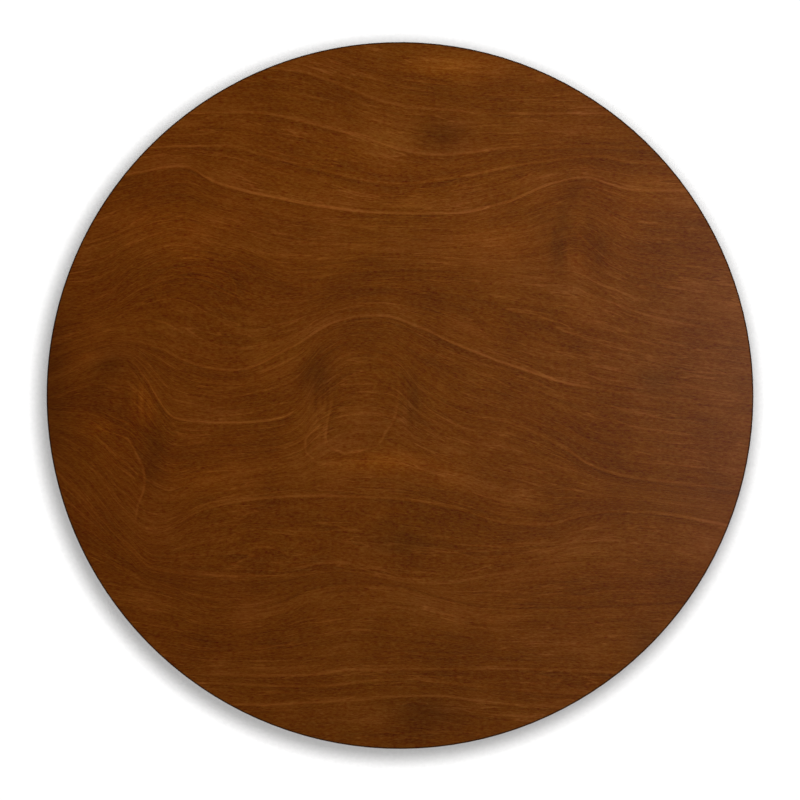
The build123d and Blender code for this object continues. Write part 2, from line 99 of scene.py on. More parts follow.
# ---- Finish colours, linear ----
VENEER_DARK = (0.0130, 0.0010, 0.0)
VENEER_BASE = (0.0542, 0.0134, 0.0002)
VENEER_LIGHT = (0.1150, 0.0360, 0.0080)
PORE_GLINT = (0.0650, 0.0380, 0.0105)  # how much the pore streaks add from their darkest to their lightest
STAIN_STOPS = ((0.0, VENEER_DARK), (0.5, VENEER_BASE), (1.0, VENEER_LIGHT))
PAINTED_LIGHT_SLOPE = (0.15, 0.11)  # painted light: the top is made paler to the right and to the back, the side its light falls from
COOL_DRIFT = 0.4  # painted sheen: bluer to the right, where the lacquer's sheen lies and redder towards the left edge, the side away from the light
WARM_LEFT = 0.12  # and warmer towards the left edge
WORN_WOOD = (0.17, 0.068, 0.018)
WORN_LIPPING = (0.13, 0.045, 0.010)


# ---- Node trees written as expressions ----
class Wire:
    """A socket of a node tree that takes part in sums and products."""

    def __init__(self, sheet, socket):
        self.sheet = sheet
        self.socket = socket

    def __add__(self, other):
        return self.sheet.math("ADD", self, other)

    def __sub__(self, other):
        return self.sheet.math("SUBTRACT", self, other)

    def __rsub__(self, other):
        return self.sheet.math("SUBTRACT", other, self)

    def __mul__(self, other):
        return self.sheet.math("MULTIPLY", self, other)

    def __truediv__(self, other):
        return self.sheet.math("DIVIDE", self, other)

    def __pow__(self, other):
        return self.sheet.math("POWER", self, other)

    __radd__ = __add__
    __rmul__ = __mul__


class Sheet:
    """A node tree, with a call for each kind of node. Inputs are numbers or wires."""

    def __init__(self, tree):
        self.tree = tree
        tree.nodes.clear()

    def plug(self, socket, value):
        if isinstance(value, Wire):
            self.tree.links.new(value.socket, socket)
        elif value is not None:
            socket.default_value = value

    def add(self, kind, inputs=None, output=0, **settings):
        node = self.tree.nodes.new("ShaderNode" + kind)
        for name, value in settings.items():
            setattr(node, name, value)
        for name, value in (inputs or {}).items():
            self.plug(node.inputs[name], value)
        return Wire(self, node.outputs[output]) if node.outputs else None

    def math(self, operation, *values):
        return self.add("Math", dict(enumerate(values)), operation=operation)

    def clamp(self, value, low=0.0, high=1.0):
        return self.add("Clamp", {"Value": value, "Min": low, "Max": high})

    def ramp(self, value, low, high, to_low=0.0, to_high=1.0, smooth=False):
        """value taken from low..high to to_low..to_high, and held at the ends."""
        inputs = {"Value": value, "From Min": low, "From Max": high, "To Min": to_low, "To Max": to_high}
        kind = "SMOOTHSTEP" if smooth else "LINEAR"
        return self.add("MapRange", inputs, interpolation_type=kind, clamp=True)

    def point(self, x, y, z=0.0):
        return self.add("CombineXYZ", {"X": x, "Y": y, "Z": z})

    def parts(self, vector):
        node = self.tree.nodes.new("ShaderNodeSeparateXYZ")
        self.plug(node.inputs[0], vector)
        return [Wire(self, socket) for socket in node.outputs]

    def place(self):
        """The piece's own coordinates, in metres, which ride with it."""
        return self.add("TexCoord", output="Object")

    def noise(self, vector, scale, detail=2.0, roughness=0.5):
        """Even noise, with scale cells to the vector's unit."""
        inputs = {"Vector": vector, "Scale": scale, "Detail": detail, "Roughness": roughness}
        return self.add("TexNoise", inputs, noise_dimensions="3D")

    def cells(self, x, y, z, detail=2.0, roughness=0.5):
        """Noise whose cells are stretched: x, y and z count them."""
        return self.noise(self.point(x, y, z), 1.0, detail, roughness)

    def curve(self, value, points):
        """A smooth line through given points, read at value."""
        node = self.tree.nodes.new("ShaderNodeFloatCurve")
        mapping = node.mapping
        mapping.use_clip = False
        mapping.extend = "HORIZONTAL"
        line = mapping.curves[0]
        line.points[0].location = points[0]
        line.points[1].location = points[-1]
        for point in points[1:-1]:
            line.points.new(*point)
        for point in line.points:
            point.handle_type = "AUTO_CLAMPED"
        mapping.update()
        self.plug(node.inputs["Value"], value)
        return Wire(self, node.outputs[0])

    def colours(self, value, stops):
        """A colour between given (position, colour) stops."""
        node = self.tree.nodes.new("ShaderNodeValToRGB")
        elements = node.color_ramp.elements
        while len(elements) < len(stops):
            elements.new(0.5)
        for element, (position, colour) in zip(elements, stops):
            element.position = position
            element.color = (*colour, 1.0)
        self.plug(node.inputs[0], value)
        return Wire(self, node.outputs[0])

    def blend(self, share, first, second):
        """A colour share of the way from the first to the second."""
        node = self.tree.nodes.new("ShaderNodeMix")
        node.data_type = "RGBA"
        for socket, value in zip((node.inputs[0], node.inputs[6], node.inputs[7]), (share, first, second)):
            self.plug(socket, (*value, 1.0) if isinstance(value, tuple) else value)
        return Wire(self, node.outputs[2])

    def scaled(self, vector, factor):
        """A colour or vector made factor times as long."""
        return self.add("VectorMath", {0: vector, "Scale": factor}, operation="SCALE")

    def sum(self, first, second):
        """The sum of two colours or vectors."""
        return self.add("VectorMath", {0: first, 1: second}, operation="ADD")

    def tinted(self, colour, red, green, blue):
        """A colour whose channels are each made so many times as strong."""
        return self.add("VectorMath", {0: colour, 1: self.point(red, green, blue)}, operation="MULTIPLY")

    def along(self, vector, direction):
        """How far a vector reaches in a direction."""
        inputs = {0: vector, 1: tuple(direction)}
        return self.add("VectorMath", inputs, output="Value", operation="DOT_PRODUCT")

    def crevices(self, reach):
        """1 in the open, falling towards 0 where other surfaces are closer than the reach."""
        return self.add("AmbientOcclusion", {"Distance": reach}, output="AO", samples=8)

    def edges(self, radius):
        """0 on faces, rising towards 1 on edges that are sharper than the radius."""
        rounded = self.add("Bevel", {"Radius": radius}, samples=4)
        plain = self.add("NewGeometry", output="Normal")
        alike = self.add("VectorMath", {0: rounded, 1: plain}, output="Value", operation="DOT_PRODUCT")
        return self.ramp(alike, 0.99, 0.85)

    def bump(self, height, strength, distance=0.001):
        return self.add("Bump", {"Height": height, "Strength": strength, "Distance": distance})

    def surface(self, colour, roughness, normal=None, **fixed):
        """The piece's shader. What is fixed is the same all over, and is set on its own sockets."""
        inputs = {"Base Color": colour, "Roughness": roughness, "Normal": normal}
        inputs.update({name.replace("_", " "): value for name, value in fixed.items()})
        shader = self.add("BsdfPrincipled", inputs)
        self.add("OutputMaterial", {"Surface": shader})


def material(name):
    made = bpy.data.materials.new(name)
    made.use_nodes = True
    return made, Sheet(made.node_tree)


# ---- The veneer's figure, as fractions of the top's radius, with u to the right and v to the back ----
# Each ring line has its brightness, which is the same all along or given as points (u, brightness), and then
# the points (u, v) it passes through.
RING_LINES = (
    (0.0, ((-1, -0.99), (0, -0.99), (1, -0.99))),
    (0.7, ((-1, -0.86), (-0.45, -0.875), (-0.27, -0.867), (0.08, -0.85), (0.28, -0.867), (1, -0.93))),
    (0.8, ((-1, -0.80), (-0.54, -0.813), (-0.27, -0.82), (0, -0.802), (0.16, -0.818), (1, -0.87))),
    (0.8, ((-1, -0.75), (-0.46, -0.79), (-0.26, -0.788), (-0.14, -0.774), (0.25, -0.773), (1, -0.81))),
    (
        -0.5,
        ((-1, -0.50), (-0.7, -0.55), (-0.5, -0.608), (-0.33, -0.581), (-0.26, -0.55), (-0.1, -0.532),
         (0.3, -0.60), (1, -0.58)),
    ),
    (
        0.4,
        ((-1, -0.19), (-0.93, -0.255), (-0.85, -0.345), (-0.76, -0.44), (-0.7, -0.49), (-0.36, -0.513),
         (-0.18, -0.496), (0.09, -0.53), (0.3, -0.50), (0.55, -0.476), (1, -0.50)),
    ),
    (
        ((-0.66, 0.0), (-0.58, 0.8), (0.2, 0.8), (1, 0.7)),
        ((-1, -0.12), (-0.88, -0.20), (-0.78, -0.33), (-0.7, -0.385), (-0.55, -0.32), (-0.44, -0.297),
         (-0.23, -0.284), (0, -0.292), (0.18, -0.325), (0.3, -0.36), (0.41, -0.364), (0.52, -0.336),
         (0.62, -0.326), (1, -0.38)),
    ),
    (
        ((-0.77, 0.0), (-0.71, 0.9), (-0.34, 0.9), (-0.28, 0.15), (0.1, 0.2), (0.35, 0.6), (0.6, 1.0),
         (1, 0.9)),
        ((-1, 0.02), (-0.78, 0.10), (-0.72, 0.05), (-0.69, 0.0), (-0.636, -0.064), (-0.52, -0.074),
         (-0.37, -0.069), (-0.29, -0.04), (-0.22, 0.06), (-0.12, 0.115), (-0.02, 0.10), (0.06, 0.02),
         (0.16, -0.041), (0.33, -0.083), (0.45, -0.139), (0.55, -0.20), (0.66, -0.229), (1, -0.27)),
    ),
    (
        ((-0.95, 0.2), (-0.8, 0.7), (-0.5, 1.0), (0.4, 1.0), (0.65, 0.35), (1, 0.3)),
        ((-1, 0.10), (-0.8, 0.16), (-0.7, 0.14), (-0.6, 0.097), (-0.48, 0.072), (-0.31, 0.134),
         (-0.18, 0.208), (-0.06, 0.226), (0.05, 0.195), (0.16, 0.143), (0.35, 0.072), (0.5, 0.03),
         (1, -0.035)),
    ),
    (
        ((-1, 0.0), (0.5, 0.0), (0.62, 0.7), (0.78, 0.7), (0.9, 0.1)),
        ((-1, 0.25), (-0.85, 0.27), (-0.73, 0.345), (-0.6, 0.38), (-0.48, 0.36), (-0.3, 0.31), (0, 0.34),
         (0.3, 0.33), (0.6, 0.265), (0.66, 0.24), (0.77, 0.21), (1, 0.17)),
    ),
    (
        1.0,
        ((-1, 0.58), (-0.74, 0.629), (-0.62, 0.648), (-0.52, 0.603), (-0.37, 0.564), (-0.2, 0.533),
         (0, 0.515), (0.15, 0.515), (0.28, 0.541), (0.43, 0.597), (0.53, 0.614), (0.6, 0.595),
         (0.67, 0.582), (1, 0.58)),
    ),
    (
        0.7,
        ((-1, 0.68), (-0.5, 0.705), (-0.39, 0.68), (-0.23, 0.64), (0, 0.60), (0.12, 0.61), (0.39, 0.66),
         (0.57, 0.675), (0.65, 0.66), (1, 0.65)),
    ),
    (0.6, ((-1, 0.80), (-0.45, 0.80), (-0.19, 0.754), (0, 0.70), (0.12, 0.68), (0.34, 0.70), (1, 0.70))),
    (0.5, ((-1, 0.95), (-0.3, 0.92), (0, 0.82), (0.1, 0.81), (0.32, 0.797), (1, 0.80))),
    (0.0, ((-1, 1.1), (-0.3, 1.05), (0, 1.0), (0.3, 0.97), (1, 0.97))),
)
# Places where the rings swell round a bud: u, v, half length, half depth, and how far back they are pushed.
SWELLS = (
    (-0.59, 0.30, 0.15, 0.09, 0.05),
    (-0.39, -0.41, 0.10, 0.05, 0.03),
    (0.50, 0.44, 0.09, 0.11, 0.045),
)
# Closed rings round an eye: u, v, half length, half depth, roundness, and strength at front and back.
EYES = (
    (-0.11, 0.02, 0.105, 0.10, 2.4, 0.0, 0.30),
    (-0.58, 0.30, 0.115, 0.065, 2.0, 0.35, 0.45),
    (0.512, 0.42, 0.040, 0.075, 1.5, 0.30, 0.35),
    (-0.39, -0.415, 0.10, 0.040, 2.0, 0.25, 0.35),
)
# Places where the streaks stand upright, beside the eyes and at the knot: u, v, half length, half depth.
UPRIGHT = (
    (-0.22, -0.03, 0.04, 0.08),
    (0.02, -0.01, 0.035, 0.09),
    (-0.74, -0.01, 0.05, 0.06),
    (0.46, 0.42, 0.03, 0.07),
)
# Short lines across the figure: brightness, first and last u, and the points (u, v) they pass through.
SHORT_LINES = (
    (
        0.85, -0.215, -0.05,
        ((-0.21, -0.12), (-0.20, -0.145), (-0.18, -0.156), (-0.15, -0.160), (-0.10, -0.154),
         (-0.062, -0.137), (-0.045, -0.11)),
    ),
    (
        0.4, -0.26, -0.12,
        ((-0.27, -0.17), (-0.249, -0.182), (-0.226, -0.188), (-0.17, -0.194), (-0.12, -0.196)),
    ),
)
# Steep lines, read across v instead: brightness, first and last v, and the points (v, u) they pass through.
STEEP_LINES = (
    (
        0.9, -0.36, -0.06,
        ((-0.4, -0.748), (-0.31, -0.737), (-0.24, -0.72), (-0.2, -0.727), (-0.16, -0.75), (-0.12, -0.778),
         (-0.098, -0.834), (-0.069, -0.874), (-0.05, -0.90)),
    ),
    (
        0.5, -0.33, -0.15,
        ((-0.34, -0.77), (-0.275, -0.805), (-0.23, -0.845), (-0.2, -0.88), (-0.15, -0.96)),
    ),
    (
        0.8, -0.19, -0.06,
        ((-0.19, -0.235), (-0.177, -0.249), (-0.154, -0.268), (-0.126, -0.266), (-0.08, -0.226),
         (-0.06, -0.22)),
    ),
    (
        0.75, -0.15, -0.01,
        ((-0.15, -0.198), (-0.13, -0.2075), (-0.08, -0.205), (-0.03, -0.196), (0.0, -0.19)),
    ),
    (
        0.6, -0.15, 0.01,
        ((-0.15, -0.085), (-0.137, -0.062), (-0.103, -0.045), (-0.078, -0.0226), (-0.04, -0.010),
         (0.03, -0.004)),
    ),
    (0.9, 0.41, 0.485, ((0.40, 0.555), (0.423, 0.540), (0.472, 0.495), (0.50, 0.485))),
    (0.5, 0.37, 0.42, ((0.36, 0.545), (0.385, 0.53), (0.41, 0.505), (0.43, 0.49))),
)
# Cloudy patches: u, v, half length, half depth, and strength, which is below 0 where it is dark.
PATCHES = (
    (-0.232, 0.055, 0.045, 0.065, -0.28),
    (0.12, 0.735, 0.08, 0.05, -0.30),
    (0.0, -0.41, 0.10, 0.045, -0.22),
    (0.035, -0.01, 0.025, 0.075, -0.22),
    (0.08, -0.90, 0.10, 0.05, -0.30),
    (0.72, 0.04, 0.05, 0.04, -0.22),
    (0.70, -0.70, 0.05, 0.06, -0.25),
    (0.445, 0.41, 0.025, 0.06, -0.20),
    (0.465, 0.50, 0.025, 0.05, -0.16),
    (0.495, 0.57, 0.03, 0.03, -0.12),
    (0.535, 0.49, 0.015, 0.04, -0.10),
    (0.565, 0.41, 0.018, 0.05, -0.12),
    (0.40, 0.50, 0.03, 0.03, -0.10),
    (0.50, 0.38, 0.03, 0.03, 0.12),
    (0.66, 0.50, 0.08, 0.05, 0.12),
    (-0.53, 0.37, 0.12, 0.04, 0.15),
    (-1.0, 0.02, 0.07, 0.30, -0.30),
    (-0.82, 0.09, 0.05, 0.04, -0.26),
    (-0.87, 0.02, 0.05, 0.04, -0.12),
    (-0.88, 0.11, 0.06, 0.012, 0.15),
    (-0.722, -0.015, 0.03, 0.06, 0.28),
    (-0.735, -0.06, 0.045, 0.025, 0.15),
    (-0.695, -0.17, 0.035, 0.09, -0.24),
    (-0.80, -0.16, 0.06, 0.06, 0.08),
    (-0.04, -0.19, 0.14, 0.03, 0.34),
    (0.14, -0.235, 0.07, 0.04, 0.14),
    (0.16, 0.93, 0.14, 0.04, 0.30),
    (0.70, 0.58, 0.10, 0.06, 0.15),
    (-0.05, 0.62, 0.60, 0.14, 0.10),
    (-0.64, 0.48, 0.16, 0.05, 0.20),
    (-0.62, 0.40, 0.06, 0.04, 0.15),
    (0.28, 0.45, 0.12, 0.05, 0.18),
    (-0.55, -0.24, 0.12, 0.05, 0.15),
    (-0.85, -0.09, 0.04, 0.02, 0.25),
)
RING_WIDTH = 0.0050
# A line's light and shade at so many widths from its middle: shaded on its front side, light at its middle.
RING_PROFILE = ((-8, 0), (-4, -0.22), (-1.4, -0.40), (0, 1), (1.2, 0.12), (3, 0.05), (8, 0))
# Noise turned into thin lines: light where the noise passes its middle, and shaded just before.
THIN_PROFILE = ((0, 0), (0.42, 0), (0.488, -0.3), (0.5, 1), (0.512, 0.1), (0.6, 0), (1, 0))
# The same for the rings in and round an eye, which are broader.
EYE_PROFILE = ((0, 0), (0.42, -0.2), (0.5, 0.8), (0.58, -0.2), (1, 0))
# The figure's layers: cells to the radius along and across the grain, and strength in shades.
LINE_STRENGTH, EYE_STRENGTH = 0.43, 0.5
THIN_CELLS, THIN_STRENGTH = (1.3, 26.0), 0.28
BAND_CELLS, BAND_STRENGTH = (1.4, 11.0), 0.70
STREAK_CELLS, STREAK_STRENGTH = (9.0, 90.0), 0.58
CLOUD_CELLS, CLOUD_STRENGTH = (6.0, 4.5), 0.60
UPRIGHT_CELLS, UPRIGHT_STRENGTH = (75.0, 9.0), 0.9
BENT_PORE_CELLS, LEVEL_PORE_CELLS = (75.0, 330.0), (80.0, 300.0)
HUE_CELLS, COOL_CELLS = (5.0, 9.0), (4.0, 7.0)
RING_WANDER, LINE_SWAY = 0.012, 0.024  # how far noise pushes the ring lines and the short lines


def swell(sheet, u, v, place):
    """A soft hill, 1 at its middle."""
    x, y, half_length, half_depth = place
    across = (u - x) / half_length
    along = (v - y) / half_depth
    return sheet.math("EXPONENT", (across * across + along * along) * -1.0)


def ring_field(sheet, u, v):
    """v straightened so that every ring line is level, and the light and shade of the lines themselves."""
    heights = [sheet.curve(u, points) for _, points in RING_LINES]
    levels = [sum(y for _, y in points) / len(points) for _, points in RING_LINES]
    field, lines = levels[0], 0.0
    for i in range(1, len(RING_LINES)):
        share = sheet.clamp((v - heights[i - 1]) / (heights[i] - heights[i - 1]))
        field = share * (levels[i] - levels[i - 1]) + field
        brightness = RING_LINES[i][0]
        if isinstance(brightness, tuple):
            brightness = sheet.curve(u, brightness)
        if brightness:
            profile = sheet.curve((v - heights[i]) / RING_WIDTH, RING_PROFILE)
            lines = profile * brightness + lines
    return field, lines


def layer(sheet, u, v, cells, seed, detail, roughness=0.5):
    """Noise with so many cells to the radius along u and along v."""
    return sheet.cells(u * cells[0], v * cells[1], seed, detail, roughness)


def eye_rings(sheet, u, v, eye):
    """A bright rim round an eye, with fainter rings inside and outside it."""
    x, y, half_length, half_depth, roundness, at_front, at_back = eye
    across = sheet.math("ABSOLUTE", (u - x) / half_length) ** roundness
    along = sheet.math("ABSOLUTE", (v - y) / half_depth) ** roundness
    waver = layer(sheet, u, v, (11.0, 11.0), 0.0, 2.0) * 0.14 - 0.07
    reach = (across + along) ** (1 / roundness) + waver
    rim = sheet.curve((1.0 - reach) / 0.034, RING_PROFILE)
    ridge = sheet.curve(sheet.cells(reach * 9.0, 0.0, x, 1.0), EYE_PROFILE)
    near = sheet.ramp(reach, 0.35, 0.7, smooth=True) * sheet.ramp(reach, 1.6, 1.2, smooth=True)
    side = sheet.ramp(v, y - half_depth * 0.6, y + half_depth * 0.4, at_front, at_back, smooth=True)
    patchy = sheet.ramp(layer(sheet, u, v, (14.0, 14.0), y, 1.0), 0.35, 0.6, 0.35, 1.0)
    return (ridge * 0.4 + rim * patchy) * near * side


def loose_line(sheet, way, start, end, offset):
    """The light and shade of a line that fades out at its start and end, at some offset from its middle."""
    span = sheet.ramp(way, start, start + 0.03) * sheet.ramp(way, end, end - 0.05)
    patchy = sheet.ramp(sheet.cells(way * 22.0, offset * 5.0, start), 0.35, 0.6, 0.4, 1.0)
    return sheet.curve(offset / RING_WIDTH, RING_PROFILE) * span * patchy


def loose_lines(sheet, u, v):
    """All the lines that the ring field can't hold."""
    sway = (layer(sheet, u, v, (12.0, 12.0), 9.3, 2.0) - 0.5) * LINE_SWAY
    lines = 0.0
    for brightness, start, end, points in SHORT_LINES:
        offset = v - sheet.curve(u, points) + sway
        lines = loose_line(sheet, u, start, end, offset) * brightness + lines
    for brightness, start, end, points in STEEP_LINES:
        offset = sheet.curve(v, points) - u + sway
        lines = loose_line(sheet, v, start, end, offset) * brightness + lines
    return lines


def veneer_shade(sheet, u, v):
    """Light and shade of the face veneer: 0 is its plain colour, -1 its darkest and 1 its lightest."""
    pushed = v
    for *place, push in SWELLS:
        pushed = pushed - swell(sheet, u, v, place) * push
    wander = layer(sheet, u, v, (3.2, 4.8), 6.2, 2.0) - 0.5
    field, lines = ring_field(sheet, u, pushed + wander * RING_WANDER)
    fade = sheet.ramp(layer(sheet, u, field, (2.2, 9.0), 7.7, 2.0), 0.35, 0.6, 0.55, 1.0)
    thin = sheet.curve(layer(sheet, u, field, THIN_CELLS, 1.3, 3.0, 0.65), THIN_PROFILE)
    bands = layer(sheet, u, field, BAND_CELLS, 4.4, 3.0, 0.55) - 0.5
    streaks = layer(sheet, u, field, STREAK_CELLS, 2.2, 2.0, 0.6) - 0.5
    clouds = layer(sheet, u, v, CLOUD_CELLS, 6.2, 3.0, 0.6) - 0.5
    stand = sum(swell(sheet, u, v, place) for place in UPRIGHT)
    upright = (layer(sheet, u, v, UPRIGHT_CELLS, 5.5, 2.0) - 0.5) * stand
    eyes = sum(eye_rings(sheet, u, v, eye) for eye in EYES)
    drawn = lines * fade + loose_lines(sheet, u, v)
    shade = drawn * LINE_STRENGTH + thin * THIN_STRENGTH + bands * BAND_STRENGTH + streaks * STREAK_STRENGTH
    shade = shade + clouds * CLOUD_STRENGTH + upright * UPRIGHT_STRENGTH + eyes * EYE_STRENGTH
    return shade, field


def face_veneer_material():
    """Stained birch with its figure, pores and cloudy patches, and painted shade at its rim, under satin
    lacquer.
    """
    made, sheet = material("face_veneer_lacquered")
    x, y, _ = sheet.parts(sheet.place())
    u, v = x / TOP_RADIUS, y / TOP_RADIUS
    shade, field = veneer_shade(sheet, u, v)
    stained = sheet.colours(shade * 0.5 + 0.5, STAIN_STOPS)
    bent = layer(sheet, u, field, BENT_PORE_CELLS, 0.4, 2.0, 0.7)
    level = layer(sheet, u, v, LEVEL_PORE_CELLS, 0.9, 2.0, 0.7)
    fine = bent * 0.65 + level * 0.65 - 0.15
    glint = sheet.scaled(sheet.point(*PORE_GLINT), fine - 0.5)
    # painted light: paler towards the right and the back, where the light falls
    painted_light_drift = u * PAINTED_LIGHT_SLOPE[0] + v * PAINTED_LIGHT_SLOPE[1] + 1.0
    cast = sum(swell(sheet, u, v, place) * strength for *place, strength in PATCHES) + 1.0
    # painted shade: the veneer darkens over its outer millimetres, as the eased edge turns away from the
    # light
    edge = TOP_RADIUS - 0.0008
    rim = sheet.ramp(sheet.math("SQRT", x * x + y * y), edge - 0.0010, edge, 1.0, 0.22)
    colour = sheet.scaled(sheet.sum(stained, glint), painted_light_drift * cast * rim)
    # painted sheen in the hue: redder towards the left edge and bluer towards the right, over random changes
    # of tone
    green = layer(sheet, u, v, HUE_CELLS, 2.9, 3.0, 0.6) * 0.16 + sheet.ramp(u, -1.0, 0.0, -WARM_LEFT, 0.0)
    blue = (layer(sheet, u, v, COOL_CELLS, 5.1, 3.0, 0.6) * 1.2 + 0.25) * (u * COOL_DRIFT + 0.85)
    colour = sheet.tinted(colour, 1.0, green + 0.92, blue)
    roughness = sheet.ramp(sheet.noise(sheet.point(u, v, 8.8), 60.0), 0.3, 0.7, 0.31, 0.36)
    sheet.surface(colour, roughness, sheet.bump(fine, 0.12, 0.0002), Specular_IOR_Level=0.07)
    return made


# ---- Finishes of the other pieces ----
# Cells to the metre in solid wood: along the grain, and across it.
WOOD_BEND, WOOD_CLOUDS = (3.0, 9.0), (12.0, 20.0)
WOOD_RINGS, WOOD_STREAKS, WOOD_PORES = (1.5, 210.0), (26.0, 320.0), (180.0, 1500.0)
RING_BEND = 0.012  # how far the year rings leave a true circle
WOOD_RELIEF = (0.15, 0.0002)  # the bump's strength and depth under the lacquer


def wood_grain(sheet, length, across, depth, cells, detail=2.0, roughness=0.6):
    """Noise with so many cells to the metre along the grain and across it."""
    along, crosswise = cells
    return sheet.cells(length * along, across * crosswise, depth * crosswise, detail, roughness)


def stained_wood(name, grain, side, tone=1.0, pith=0.08, wear=0.0):
    """Stained solid wood, grained in one direction, with the middle of its year rings off to one side."""
    made, sheet = material(name)
    place = sheet.place()
    grain, side = Vector(grain).normalized(), Vector(side).normalized()
    length = sheet.along(place, grain)
    across = sheet.along(place, side) + pith
    depth = sheet.along(place, grain.cross(side))
    bend = wood_grain(sheet, length, across, depth, WOOD_BEND, roughness=0.5) - 0.5
    radius = sheet.math("SQRT", across * across + depth * depth) + bend * RING_BEND
    rings = sheet.cells(radius * WOOD_RINGS[1], 0.0, length * WOOD_RINGS[0], 3.0, 0.6) - 0.5
    streaks = wood_grain(sheet, length, across, depth, WOOD_STREAKS) - 0.5
    pores = wood_grain(sheet, length, across, depth, WOOD_PORES)
    clouds = wood_grain(sheet, length, across, depth, WOOD_CLOUDS, roughness=0.5) - 0.5
    shade = rings * 1.5 + streaks * 1.3 + clouds * 0.8 + (pores - 0.5) * 1.1
    stained = sheet.colours(shade * 0.5 + 0.5, STAIN_STOPS)
    # painted shade: darker where other surfaces are close, in grooves and between parts
    crevice_shade = sheet.ramp(sheet.crevices(0.012), 0.35, 0.95, 0.45, 1.0)
    colour = sheet.scaled(stained, crevice_shade * tone)
    scuffs = sheet.noise(place, 55.0, 4.0, 0.7)
    if wear:
        rubbed = sheet.edges(0.0028) * sheet.ramp(scuffs, 0.40, 0.60) * wear
        colour = sheet.blend(rubbed, colour, WORN_WOOD)
    roughness = sheet.ramp(scuffs, 0.3, 0.7, 0.33, 0.45)
    sheet.surface(colour, roughness, sheet.bump(pores, *WOOD_RELIEF), Specular_IOR_Level=0.25)
    return made


def lipping_material():
    """The ring's grain runs round it, so its length is measured as an angle."""
    made, sheet = material("lipping_lacquered")
    place = sheet.place()
    x, y, z = sheet.parts(place)
    length = sheet.math("ARCTAN2", y, x) * TOP_RADIUS
    radius = sheet.math("SQRT", x * x + y * y)
    streaks = wood_grain(sheet, length, radius, z, (22.0, 300.0), 3.0) - 0.5
    pores = wood_grain(sheet, length, radius, z, (160.0, 1400.0))
    bands = sheet.cells(length * 5.0, radius * 60.0, z * 110.0) - 0.5
    shade = streaks * 0.8 + bands * 0.8 + (pores - 0.5) * 0.5 - 0.30
    colour = sheet.colours(shade * 0.5 + 0.5, STAIN_STOPS)
    scuffs = sheet.noise(place, 70.0, 4.0, 0.7)
    rubbed = sheet.edges(0.0012) * sheet.ramp(scuffs, 0.50, 0.66, 0.0, 0.35)
    colour = sheet.blend(rubbed, colour, WORN_LIPPING)
    painted_edge_shade = sheet.ramp(z, TOP_Z - 0.0030, TOP_Z - 0.0012, 1.0, 0.30)  # painted shade: darker at the upper edge, as the eased edge turns away from the light
    colour = sheet.scaled(colour, painted_edge_shade)
    roughness = sheet.ramp(scuffs, 0.3, 0.7, 0.34, 0.46)
    sheet.surface(colour, roughness, sheet.bump(pores, *WOOD_RELIEF), Specular_IOR_Level=0.25)
    return made


def under_veneer_material():
    """A thinner, drier coat of the stain on plain birch, with no lacquer over it."""
    made, sheet = material("under_veneer_sealed")
    place = sheet.place()
    x, y, _ = sheet.parts(place)
    bend = sheet.cells(x * 3.0, y * 7.0, 4.0) - 0.5
    bands = sheet.cells(x * 2.5, y * 42.0 + bend * 2.2, 1.0, 4.0, 0.6) - 0.5
    streaks = sheet.cells(x * 30.0, y * 420.0 + bend * 22.0, 2.0, 2.0, 0.6) - 0.5
    pores = sheet.cells(x * 170.0, y * 1300.0, 3.0, 2.0, 0.6)
    coat = sheet.noise(place, 7.0, 3.0) - 0.5
    shade = bands * 1.1 + streaks * 0.7 + coat * 0.8 + (pores - 0.5) * 0.5
    thin_stain = ((0.0, (0.055, 0.020, 0.006)), (0.5, (0.130, 0.058, 0.020)), (1.0, (0.230, 0.120, 0.048)))
    colour = sheet.colours(shade * 0.5 + 0.5, thin_stain)
    # the dust here is painted shade: the underside darkens where other surfaces are close, round the parts
    # fixed below it
    dust = sheet.ramp(sheet.crevices(0.015), 0.4, 1.0, 0.55, 1.0)
    roughness = sheet.ramp(pores, 0.3, 0.7, 0.62, 0.72)
    sheet.surface(sheet.scaled(colour, dust), roughness, sheet.bump(pores, 0.3, 0.0002), IOR=1.5)
    return made


def core_board_material():
    """Raw pale softwood, seen only where the core is bare."""
    made, sheet = material("core_board")
    place = sheet.place()
    fibres = sheet.noise(place, 900.0, 3.0, 0.7)
    clumps = sheet.noise(place, 120.0)
    shade = fibres * 0.6 + clumps * 0.4
    colour = sheet.colours(shade, ((0.35, (0.20, 0.115, 0.052)), (0.65, (0.36, 0.235, 0.125))))
    sheet.surface(colour, sheet.ramp(fibres, 0.3, 0.7, 0.8, 0.95), sheet.bump(fibres, 0.4, 0.0003))
    return made


def metal(name, clean, tarnished, tarnish, brushed=(1.0, 1.0, 1.0)):
    """Metal with a film of tarnish that gathers in patches and crevices, and fine scratches. Brushed is how
    closely the scratches lie along X, Y and Z."""
    made, sheet = material(name)
    place = sheet.place()
    x, y, z = sheet.parts(place)
    scratches = sheet.noise(sheet.point(x * brushed[0], y * brushed[1], z * brushed[2]), 900.0, 3.0, 0.7)
    patches = sheet.ramp(sheet.noise(place, 160.0, 4.0, 0.6), 0.35, 0.7, 0.0, tarnish)
    hollows = 1.0 - sheet.ramp(sheet.crevices(0.006), 0.3, 0.95)
    film = sheet.clamp(patches + hollows * 0.8 + (scratches - 0.5) * 0.25)
    colour = sheet.blend(film, clean, tarnished)
    dulled = film * 0.20 + 0.22
    shine = dulled + sheet.ramp(scratches, 0.3, 0.7, -0.04, 0.08)
    sheet.surface(colour, shine, sheet.bump(scratches, 0.12, 0.0001), Metallic=1.0)
    return made


